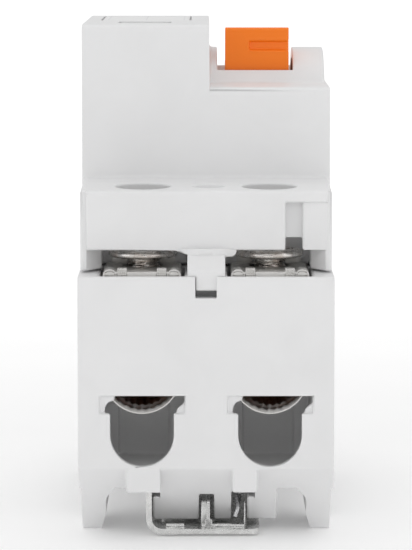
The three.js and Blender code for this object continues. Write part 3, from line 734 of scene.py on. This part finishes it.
def cover_round(edge):
    """Broad rounds on the outside of the cover's upper part, and small ones everywhere else."""
    ends = [v.co / MM for v in edge.verts]
    button_x, button_y, _ = centre_of("test_button")
    toggle_low, toggle_high = node_mm("toggle")
    screws = [(x, y) for x in (-POLE_X, POLE_X) for y in (-screw_offset(), screw_offset())]
    if min(p.z for p in ends) < SHOULDER_LEVEL:
        return SMALL_ROUND * MM
    if near_axis(ends, button_x, button_y, BUTTON_HOLE_R):
        return FINE_ROUND * MM
    if near_axis(ends, -POLE_X, 7, 14) and ends[0].z > LABEL_LEVEL:
        return FINE_ROUND * MM
    if all(toggle_low[0] - 1.5 < p.x < toggle_high[0] + 1 and abs(p.y) < HUMP_REACH for p in ends):
        return SMALL_ROUND * MM
    if any(near_axis(ends, x, y, ACCESS_HOLE_R) for x, y in screws):
        return RIM_ROUND * MM
    along_x = abs(ends[0].x - ends[1].x) > 0.9 * (ends[0] - ends[1]).length
    return (BROAD_ROUND if along_x else WALL_ROUND) * MM


def upper_cover():
    """The cover, with its end posts brought down onto the terminal blocks and its slots recessed."""
    bm = bmesh.new()
    bm.from_mesh(NODES["upper_cover"].data)
    bmesh.ops.remove_doubles(bm, verts=bm.verts, dist=1e-6)
    feet, slots = [], []
    for _, side in ENDS:
        feet.append(side_block("foot", side, (-2.6, 2.7), (36.6, 41.8), (37.45, 38.1)))
        feet.append(side_block("tab", side, (-1.42, 1.85), (39.2, 41.8), (35.5, 38.1)))
        slots.append(side_block("slot", side, (11.2, 13.65), (35.75, 37.8), (42.4, 47.6)))
    mesh = combine(combine(mesh_from(bm, "upper_cover"), feet), slots, "DIFFERENCE")
    round_edges(add_piece("upper_cover", mesh), BROAD_ROUND * MM, 4, cover_round)


def housing_round(edge):
    """Small rounds, and sharper ones in the latch notches."""
    ends = [v.co / MM for v in edge.verts]
    in_notch = all(abs(p.x) < NOTCH_HALF and p.z > NOTCH_LEVEL for p in ends)
    return (FINE_ROUND if in_notch else HOUSING_ROUND) * MM


def plain_pieces():
    upper_cover()
    rounded_copy("base_housing", HOUSING_ROUND, 3, housing_round)
    for node, width in SINGLE_PIECES.items():
        rounded_copy(node, width)
    for pole in POLES:
        for part, width in POLE_PIECES.items():
            rounded_copy(f"{part}_{pole}", width, 2)


# ---- terminal screws
THREAD_PITCH = 0.8
THREAD_DEPTH = 0.42
SHANK_R = 2.46
CROSS_DEPTH = 0.75
# Drop below the top, and share of the head's radius there.
HEAD_PROFILE = (
    (1.18, 0.86), (1.14, 0.91), (1.05, 0.96), (0.9, 0.99), (0.75, 1), (0.5, 1),
    (0.32, 0.985), (0.16, 0.95), (0.05, 0.9), (0, 0.82),
)


def thread_radius(height):
    """The radius of the cut thread at one height, for each angle."""
    def radius(angle):
        phase = (height / THREAD_PITCH - angle / (2 * math.pi)) % 1
        return SHANK_R - THREAD_DEPTH * min(1, 2.4 * abs(phase - 0.5))
    return radius


def terminal_screw(low, high):
    """A pan-head clamp screw with a slotted cross recess and a thread right up to its head."""
    centre = ((low[0] + high[0]) / 2, (low[1] + high[1]) / 2)
    head = (high[0] - low[0]) / 2
    top, bottom = high[2], low[2]
    root = SHANK_R - THREAD_DEPTH
    thread_low, thread_top = bottom + 0.8, top - 1.45
    steps = int((thread_top - thread_low) / (THREAD_PITCH / 6))
    rows = [(bottom, root * 0.8), (bottom + 0.3, root * 0.95), (thread_low, root)]
    rows += [(z, thread_radius(z)) for z in np.linspace(thread_low + 0.1, thread_top - 0.1, steps)]
    rows += [(thread_top, root), (top - 1.22, root * 1.15)]
    rows += [(top - drop, head * share) for drop, share in HEAD_PROFILE]
    body = ring_stack("screw", centre, rows)
    half = head * 0.13
    slots = []
    for reach in ((half, head * 0.7), (head * 0.7, half)):
        near = [c - r for c, r in zip(centre, reach)]
        far = [c + r for c, r in zip(centre, reach)]
        slots.append(block("slot", (*near, top - CROSS_DEPTH), (*far, top + 1)))
    well = [(top - 1.05, 0.2), (top - 0.4, head * 0.26), (top + 1, head * 0.4)]
    slots.append(ring_stack("well", centre, well, 24))
    return smooth(combine(body, slots, "DIFFERENCE"), 30)


# ---- clamp cages
CAGE_WALL = 1.05
CAGE_RIM = 0.36
KNURL = 0.27  # pitch of the knurled squares
KNURL_HEIGHT = 0.13
GRIP = 0.8  # pitch of the ridges in the trough


def cage_section(half, centre, top, corner, inset, ridges):
    """The outline of a cage, inset from its outside: flat top, straight sides, round bottom."""
    reach = half - inset
    points = [(reach, centre + 0.3)]
    for mirror, turn in ((1, 0), (-1, math.pi / 2)):
        for k in range(5):
            angle = turn + math.pi / 2 * k / 4
            middle = (mirror * (reach - corner), top - inset - corner)
            points.append((middle[0] + corner * math.cos(angle), middle[1] + corner * math.sin(angle)))
    points.append((-reach, centre + 0.3))
    columns = 56
    for k in range(columns + 1):
        angle = math.pi + math.pi * k / columns
        r = reach - ridges * (0.6 + 0.4 * math.cos(k * math.pi / 2)) * math.sin(angle) ** 2
        points.append((r * math.cos(angle), centre + r * math.sin(angle)))
    return points


def cage_shell(low, high):
    """Sheet bent to a flat top and a round bottom, with grip ridges along the trough."""
    middle = (low[0] + high[0]) / 2
    half = (high[0] - low[0]) / 2
    centre = low[2] + half
    length = high[1] - low[1]
    rows = 84
    bm = bmesh.new()
    skins = ([], [])
    for i in range(rows + 1):
        depth = length * i / rows
        y = low[1] + length * i / rows
        mouth = min(depth, length - depth)
        ridges = 0.3 * (0.5 - 0.5 * math.cos(2 * math.pi * depth / GRIP)) * min(1, mouth / 0.4)
        edge = 0.1 * max(0, 1 - mouth / 0.2)
        wall = CAGE_RIM + (CAGE_WALL - CAGE_RIM) * min(1, mouth / 1.2)
        outside = cage_section(half, centre, high[2], 0.5, edge, 0)
        inside = cage_section(half, centre, high[2], 0.25, wall - edge, ridges)
        for skin, section in zip(skins, (outside, inside)):
            skin.append([bm.verts.new(((middle + u) * MM, y * MM, z * MM)) for u, z in section])
    strips = [pair for skin in skins for pair in zip(skin, skin[1:])]
    strips += [(skins[0][end], skins[1][end]) for end in (0, -1)]
    for one, two in strips:
        join_rings(bm, one, two)
    return mesh_from(bm, "shell")


def knurled_block(low, high):
    """A block whose outer end face is cut into small pyramids."""
    across = 2 * round((high[0] - low[0]) / KNURL) + 1
    up = 2 * round((high[2] - low[2]) / KNURL) + 1
    bm = bmesh.new()
    grid = []
    for i in range(across):
        column = []
        for j in range(up):
            x = low[0] + (high[0] - low[0]) * i / (across - 1)
            z = low[2] + (high[2] - low[2]) * j / (up - 1)
            raised = i % 2 == 1 and j % 2 == 1
            y = low[1] - (KNURL_HEIGHT if raised else 0)
            column.append(bm.verts.new((x * MM, y * MM, z * MM)))
        grid.append(column)
    for i in range(across - 1):
        for j in range(up - 1):
            bm.faces.new((grid[i][j], grid[i + 1][j], grid[i + 1][j + 1], grid[i][j + 1]))
    border = [column[0] for column in grid]
    border += grid[-1][1:]
    border += [column[-1] for column in reversed(grid[:-1])]
    border += grid[0][-2:0:-1]
    behind = [bm.verts.new((v.co.x, high[1] * MM, v.co.z)) for v in border]
    join_rings(bm, border, behind)
    bm.faces.new(behind)
    return mesh_from(bm, "knurl")


def half_moon(middle, width, base, height, face, back):
    """A rolled lug: on its end face a rim, a groove, and a core inside."""
    foot = 0.15

    def arch(inset):
        w, h = width / 2 - inset, height - 2 * inset
        points = [(middle - w, base + inset), (middle + w, base + inset)]
        for k in range(17):
            angle = math.pi * k / 16
            rise = foot + (h - foot) * math.sin(angle)
            points.append((middle + w * math.cos(angle), base + inset + rise))
        return points

    def slab(inset, start, end):
        return prism("moon", arch(inset), "y", start, end)

    deep = face + 0.35
    groove = combine(slab(0.17, face - 1, deep), [slab(0.34, face - 2, deep + 1)], "DIFFERENCE")
    return combine(slab(0, face, back), [groove], "DIFFERENCE")


def clamp_cage(low, high):
    """A bent cage with rolled lugs and knurled squares at its outer end, and turned-up tabs inside."""
    middle = (low[0] + high[0]) / 2
    outer_end, inner_end = low[1], high[1]
    top = high[2]

    def span(a, b):
        return min(a, b), max(a, b)

    parts = []
    for mirror in (-1, 1):
        left, right = span(middle + mirror * 2.12, middle + mirror * 3.44)
        near = (left, outer_end - 0.05, top - 1.4)
        parts.append(knurled_block(near, (right, outer_end + 1.6, top + 0.46)))
        moon = middle + mirror * 4.5
        parts.append(half_moon(moon, 1.96, top - 0.8, 1.16, outer_end - 0.1, outer_end + 3.5))
        left, right = span(middle + mirror * 2.4, middle + mirror * 4.6)
        near = (left, inner_end - 0.85, top - 0.8)
        parts.append(block("tab", near, (right, inner_end - 0.05, top + 0.8)))
    fold = arc_outline([
        (outer_end, top - 1.4),
        (outer_end, top, 0.3),
        (outer_end + 1.2, top),
        (outer_end + 0.6, top - 1.4),
    ])
    parts.append(prism("fold", fold, "x", middle - 2.05, middle + 2.05))
    shell = combine(cage_shell(low, high), parts)
    screw = (middle, -screw_offset())
    rows = [(top - 3, 2.75), (top - 0.3, 2.75), (top + 0.3, 3.2), (top + 2, 3.2)]
    hole = ring_stack("hole", screw, rows)
    return smooth(combine(shell, [hole], "DIFFERENCE"), 32)


def screw_offset():
    """How far the screws stand from the middle, in millimetres."""
    return centre_of("terminal_screw_line_left")[1]


def terminals():
    """Four screws and four cages from one of each; those of the line end are turned half round."""
    first = {
        "terminal_screw": terminal_screw(*node_mm("terminal_screw_load_left")),
        "clamp_cage": clamp_cage(*node_mm("clamp_cage_load_left")),
    }
    for part, mesh in first.items():
        here = Vector(centre_of(f"{part}_load_left")) * MM
        for end, side in ENDS:
            turn = Matrix.Rotation(math.pi, 4, "Z") if side > 0 else Matrix.Identity(4)
            for pole in POLES:
                node = f"{part}_{end}_{pole}"
                there = Vector(centre_of(node)) * MM
                copy = mesh.copy()
                copy.transform(Matrix.Translation(there) @ turn @ Matrix.Translation(-here))
                add_piece(node, copy)


# ---- rail clip
CLIP_ROUND = 0.14


def corner_cutter(x, y, radius, low, high):
    """Takes the corner off a sheet in plan, leaving a round of that radius."""
    points = [(x - radius, y - 1), (x + 1, y - 1), (x + 1, y + radius)]
    for k in range(9):
        angle = -math.pi / 2 * k / 8
        points.append((x - radius + radius * math.cos(angle), y + radius + radius * math.sin(angle)))
    return prism("cutter", points, "z", low, high)


def rail_clip():
    """A bent sheet: floor with a raised hook at its inner end, one side arm, a tongue in the middle."""
    low, high = node_mm("rail_clip")
    sheet = 0.8
    left, right, near = low[0], high[0], low[1]
    floor, hook_end = low[2], high[1]
    bend = 2.3
    tray = arc_outline([
        (near, floor, 0.25),
        (-24.7, floor, 0.8),
        (-20.7, floor + 3.4, 1.2),
        (hook_end, floor + 3.6, 0.2),
        (hook_end, floor + 4.3, 0.2),
        (-21, floor + 4.1, 1.6),
        (-25, floor + sheet, 0.5),
        (near, floor + sheet, 0.25),
    ])
    angle = arc_outline([
        (left, 6.6, 0.3),
        (left, floor, bend),
        (left + 4.5, floor),
        (left + 4.5, floor + sheet),
        (left + sheet, floor + sheet, bend - sheet),
        (left + sheet, 6.6, 0.3),
    ], 10)
    tongue_face = arc_outline([
        (near + 1.2, floor + 0.3),
        (near + 1.2, 5, 0.5),
        (-28, 5, 0.5),
        (-28, floor + 0.3),
    ])
    tongue_back = arc_outline([
        (near + 3.2, floor + 0.3),
        (near + 3.2, 4.7, 0.4),
        (-28.4, 4.7, 0.4),
        (-28.4, floor + 0.3),
    ])
    bead = arc_outline([
        (near + 1.3, floor + 0.5),
        (near + 1.4, floor + 1.3, 0.3),
        (near + 2.3, floor + 1.3, 0.3),
        (near + 2.6, floor + 0.5),
    ])
    base = [
        (near + 1, floor + 0.5),
        (near + 1.2, floor + 2),
        (near + 1.6, floor + 2),
        (near + 3, floor + 0.5),
    ]
    parts = [
        prism("corner", angle, "y", near, -27),
        prism("tongue", tongue_face, "x", 0.1, 0.55),
        prism("flange", tongue_back, "x", -0.7, 0.15),
        prism("root", base, "x", -0.2, 0.9),
        prism("bead", bead, "x", -0.6, right - 2.2),
        prism("low_bead", bead, "x", left + 2.8, left + 5.4),
        prism("lug", tongue_back, "x", 5.4, 5.62),
    ]
    whole = combine(prism("floor", tray, "x", left + bend, right), parts)
    tools = [ring_stack("hole", (x, -29.5), [(-1, 0.9), (3, 0.9)], 24) for x in (-4.5, 4.5)]
    tools.append(corner_cutter(right, near, 1.6, -1, 3))
    piece = add_piece("rail_clip", combine(whole, tools, "DIFFERENCE"))
    round_edges(piece, CLIP_ROUND * MM, 2)


# X, share of the way along Y, and Z.
CLIP_SPRING_ROUTE = (
    (4.1, 0, 2.5),
    (4.55, 0.08, 3.9),
    (4.35, 0.3, 5.1),
    (4.6, 0.6, 5.2),
    (4.8, 0.85, 4.6),
    (4.5, 1, 2.7),
)


def clip_spring():
    """A bowed wire between the guide and the clip, in its rest shape; this piece is not made to shorten
    as the clip is drawn out.
    """
    low, high = node_mm("clip_spring")
    wire = 0.3
    start, end = low[1] + wire, high[1] - wire
    path = smooth_path([(x, start + share * (end - start), z) for x, share, z in CLIP_SPRING_ROUTE])
    piece = add_piece("clip_spring", tube("clip_spring", path, wire, 12))
    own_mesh(piece)


def button_spring():
    low, high = node_mm("button_spring")
    x, y, _ = centre_of("button_spring")
    wire = 0.32
    radius = (high[0] - low[0]) / 2 - wire

    def place(a, b, height):
        return x + a, y + b, height

    path = coil_path(place, radius, low[2] + wire, high[2] - wire, 9)
    piece = add_piece("button_spring", tube("button_spring", path, wire))
    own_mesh(piece)


def tilted_spring(pole):
    """The contact spring lies along the tilted carrier's own Y, so its axis is read from its mesh."""
    node = f"contact_spring_{pole}"
    points = np.array([v.co for v in NODES[node].data.vertices]) / MM
    centre = points.mean(0)
    tilt = carrier_tilt()
    axis = Vector((0, math.cos(tilt), -math.sin(tilt)))
    up = Vector((0, math.sin(tilt), math.cos(tilt)))
    reach = max(abs((Vector(p) - Vector(centre)).dot(axis)) for p in points)
    radius = 1.3
    wire = 0.25

    def place(a, b, along):
        return Vector(centre) + Vector((1, 0, 0)) * a + up * b + axis * along

    path = coil_path(place, radius, -reach + wire, reach - wire, 6.5)
    add_piece(node, tube(node, path, wire, 8))


def carrier_tilt():
    """How far the carrier stands from upright at rest, from the arm's long axis."""
    points = np.array([v.co for v in NODES["contact_arm_left"].data.vertices])
    lowest = points[points[:, 2].argmin()]
    joint = next(j for j in frame["joints"] if j["name"] == "carrier_swing")
    _, pivot_y, pivot_z = joint["pos_m"]
    return -math.atan2(lowest[1] - pivot_y, pivot_z - lowest[2])


def toggle_spring():
    """A torsion spring of close turns round the toggle pin, with two legs."""
    low, high = node_mm("toggle_spring")
    _, y, z = centre_of("toggle_pin")
    wire = 0.2
    radius = 1.9
    foot = low[2] + 0.3
    knee = (foot + z) / 2
    left, right = low[0] + wire, high[0] - wire

    def place(a, b, along):
        return along, y + a, z + b

    turns = coil_path(place, radius, left, right, 3, 24, 0.0)
    first_leg = [(left, y + radius, foot), (left, y + radius, knee)]
    last_leg = [(right, y + radius + 0.3, knee), (right, y + radius + 0.3, foot)]
    path = [*first_leg, *turns, *last_leg]
    add_piece("toggle_spring", tube("toggle_spring", path, wire, 8))


def relay_coil():
    """A spool with turns of enamelled wire between its flanges."""
    low, high = node_mm("relay_coil")
    x, _, z = centre_of("relay_plunger")
    flange = (high[2] - low[2]) / 2
    winding = flange - 0.95
    bm = bmesh.new()
    wire = 0.26
    start, end = low[1] + 1.3, high[1] - 1.3
    turns = int((end - start) / (2 * wire))
    for i in range(turns):
        y = start + (i + 0.5) * (end - start) / turns
        angles = np.linspace(0, 2 * math.pi, 32, endpoint=False)
        loop = [(x + winding * math.cos(a), y, z + winding * math.sin(a)) for a in angles]
        tube("turn", loop, wire, 6, True, bm)
    add_piece("relay_coil", smooth(mesh_from(bm, "relay_coil")))
    core = flange - 1.1
    profile = [(low[1], flange), (low[1] + 1, flange), (low[1] + 1, core)]
    profile += [(high[1] - 1, core), (high[1] - 1, flange), (high[1], flange)]
    spool = turned_along_y("spool", x, z, profile, 1.7)
    piece = place_object("relay_spool", spool)
    spool.materials.append(LOOKS["inner_plastic"])
    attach(piece, NODES["relay_coil"]["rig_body"])


def turned_along_y(name, x, z, profile, bore, columns=40):
    """A bored form turned about an axis along Y, from outer (place, radius) points."""
    loop = [*profile, (profile[-1][0], bore), (profile[0][0], bore)]
    bm = bmesh.new()
    rings = []
    for y, radius in loop:
        ring = []
        for k in range(columns):
            angle = 2 * math.pi * k / columns
            place = (x + radius * math.cos(angle), y, z + radius * math.sin(angle))
            ring.append(bm.verts.new([c * MM for c in place]))
        rings.append(ring)
    for one, two in zip(rings, rings[1:] + rings[:1]):
        join_rings(bm, one, two)
    return smooth(mesh_from(bm, name), 30)


def secondary_winding():
    """Turns of fine wire side by side round a stretch of the core ring."""
    core_low, core_high = node_mm("core_ring")
    x, _, z = centre_of("core_ring")
    outer = (core_high[0] - core_low[0]) / 2
    inner = outer * 0.58
    wire = 0.24
    start, end = math.radians(24), math.radians(126)
    turns = 44
    bm = bmesh.new()
    clear = 0.32 + wire
    for i in range(turns):
        angle = start + (end - start) * i / (turns - 1)
        out = Vector((math.cos(angle), 0, math.sin(angle)))
        section = arc_outline([
            (inner - clear, core_low[1] - clear, 0.6),
            (outer + clear, core_low[1] - clear, 0.6),
            (outer + clear, core_high[1] + clear, 0.6),
            (inner - clear, core_high[1] + clear, 0.6),
        ], 4)
        loop = [Vector((x, b, z)) + out * a for a, b in section]
        tube("turn", loop, wire, 6, True, bm)
    add_piece("secondary_winding", smooth(mesh_from(bm, "secondary_winding")))


# Points of the right-hand pole; the left-hand pole's are mirrored in X.
CONDUCTOR_ROUTE = (
    (9, -23.4, 25.2),
    (5.5, -23.2, 25.3),
    (2.3, -21.6, 25.5),
    (1.9, -17, 25.6),
    (1.9, -12, 25.6),
    (4, -9.4, 25.8),
    (9, -8.6, 26),
)
LEAD_ROUTE = ((10.6, -8.6, 26), (12.6, -8, 26.2), (13.7, -5, 26.6), (13.7, 1.2, 26))
CONDUCTOR_R = 1.25
LEAD_R = 0.82
STRANDS = 7
LAY_TURNS = 9


def wires(pole, sign):
    """The stiff conductor through the core ring, and the stranded lead to the contact arm."""
    route = smooth_path([(sign * x, y, z) for x, y, z in CONDUCTOR_ROUTE], 8)
    node = f"primary_conductor_{pole}"
    add_piece(node, tube(node, route, CONDUCTOR_R, 20))
    route = smooth_path([(sign * x, y, z) for x, y, z in LEAD_ROUTE], 24)

    def strands(share, angle):
        return LEAD_R + 0.08 * math.cos(STRANDS * angle + 2 * math.pi * LAY_TURNS * share)

    node = f"flexible_lead_{pole}"
    add_piece(node, tube(node, route, strands, 42))


def test_resistor():
    """A domed body on two wire ends."""
    low, high = node_mm("test_resistor")
    x, _, z = centre_of("test_resistor")
    wire = 0.38
    body = low[1] + WIRE_END
    radius = (high[2] - low[2]) / 2
    profile = [
        (low[1], wire),
        (body, wire),
        (body + 0.1, radius * 0.6),
        (body + 0.5, radius * 0.92),
        (body + 1.1, radius),
        (body + 2.1, radius * 0.96),
        (body + 2.5, radius * 0.9),
    ]
    rows = profile + [(low[1] + high[1] - y, r) for y, r in reversed(profile)]
    path = [(x, y, z) for y, _ in rows]
    radii = [r for _, r in rows]
    bm = bmesh.new()
    tube("body", path, lambda share, _: radii[round(share * (len(radii) - 1))], 28, False, bm)
    add_piece("test_resistor", smooth(mesh_from(bm, "test_resistor"), 50))


def inner_pieces():
    button_spring()
    toggle_spring()
    relay_coil()
    secondary_winding()
    test_resistor()
    for pole, sign in zip(POLES, (-1, 1)):
        tilted_spring(pole)
        wires(pole, sign)


# ---- studio
def studio_floor():
    """A pale floor that glows more the farther it is from the device, and fills the view."""
    mesh = bpy.data.meshes.new("floor")
    near, far, half = -3.0, 14.0, 8.0
    corners = [(-half, near, 0), (half, near, 0), (half, far, 0), (-half, far, 0)]
    mesh.from_pydata(corners, [], [(0, 1, 2, 3)])
    floor = place_object("studio_floor", mesh)
    finish = Finish("floor_paper", 0.7)
    finish.colour(finish.mix(finish.patches(40, 2), (0.9, 0.9, 0.9), (0.92, 0.92, 0.92)))
    finish.shader.inputs["Emission Color"].default_value = (1, 1, 1, 1)
    distance = finish.add("ShaderNodeVectorMath", operation="LENGTH")
    finish.link(finish.add("ShaderNodeTexCoord").outputs["Object"], distance.inputs[0])
    glow = finish.ramp(distance.outputs["Value"], 0.1, 0.7, 0.14, 0.5)
    finish.link(glow, finish.shader.inputs["Emission Strength"])
    mesh.materials.append(finish.material)


def area_light(name, place, target, size, power):
    data = bpy.data.lights.new(name, "AREA")
    data.shape = "RECTANGLE"
    data.size, data.size_y = size
    data.energy = power
    light = place_object(name, data)
    light.location = place
    light.rotation_euler = (Vector(target) - Vector(place)).to_track_quat("-Z", "Y").to_euler()


def studio_world():
    """A white tent with a dim opening at the front, where a photographer would stand."""
    world = bpy.data.worlds.new("tent")
    world.use_nodes = True
    tree = world.node_tree
    background = tree.nodes["Background"]
    direction = tree.nodes.new("ShaderNodeTexCoord")
    forward = tree.nodes.new("ShaderNodeVectorMath")
    forward.operation = "DOT_PRODUCT"
    forward.inputs[1].default_value = (0, -1, 0)
    opening = tree.nodes.new("ShaderNodeMapRange")
    opening.interpolation_type = "SMOOTHSTEP"
    set_range(opening, 0.93, 0.97, 0.68, 0.1)
    tree.links.new(direction.outputs["Generated"], forward.inputs[0])
    tree.links.new(forward.outputs["Value"], opening.inputs["Value"])
    tree.links.new(opening.outputs["Result"], background.inputs["Strength"])
    background.inputs["Color"].default_value = (1, 1, 1, 1)
    bpy.context.scene.world = world


def studio_light():
    """A soft light overhead, a weaker one above the front, and a softbox at each side."""
    studio_world()
    middle = (0, 0, 0.035)
    area_light("overhead", (0, 0.35, 1.1), (0, 0.35, 0), (1.3, 1.3), 3.0)
    area_light("key", (0, -1.0, 0.62), middle, (0.9, 0.5), 1.0)
    area_light("left_box", (-0.95, -0.6, 0.4), middle, (0.5, 0.7), 0.8)
    area_light("right_box", (0.95, -0.6, 0.4), middle, (0.5, 0.7), 0.6)


CAMERA_BACK = 0.5225
CAMERA_HEIGHT = 0.0875
CAMERA_PITCH = math.radians(5.91)
CAMERA_LENS = 226.0


def camera():
    data = bpy.data.cameras.new("camera")
    data.lens = CAMERA_LENS
    data.clip_start = 0.01
    data.clip_end = 50
    view = place_object("camera", data)
    view.location = (0, -CAMERA_BACK, CAMERA_HEIGHT)
    view.rotation_euler = (math.pi / 2 - CAMERA_PITCH, 0, 0)
    bpy.context.scene.camera = view


plain_pieces()
terminals()
rail_clip()
clip_spring()
inner_pieces()
studio_floor()
studio_light()
camera()
bpy.context.scene.view_settings.view_transform = "Standard"
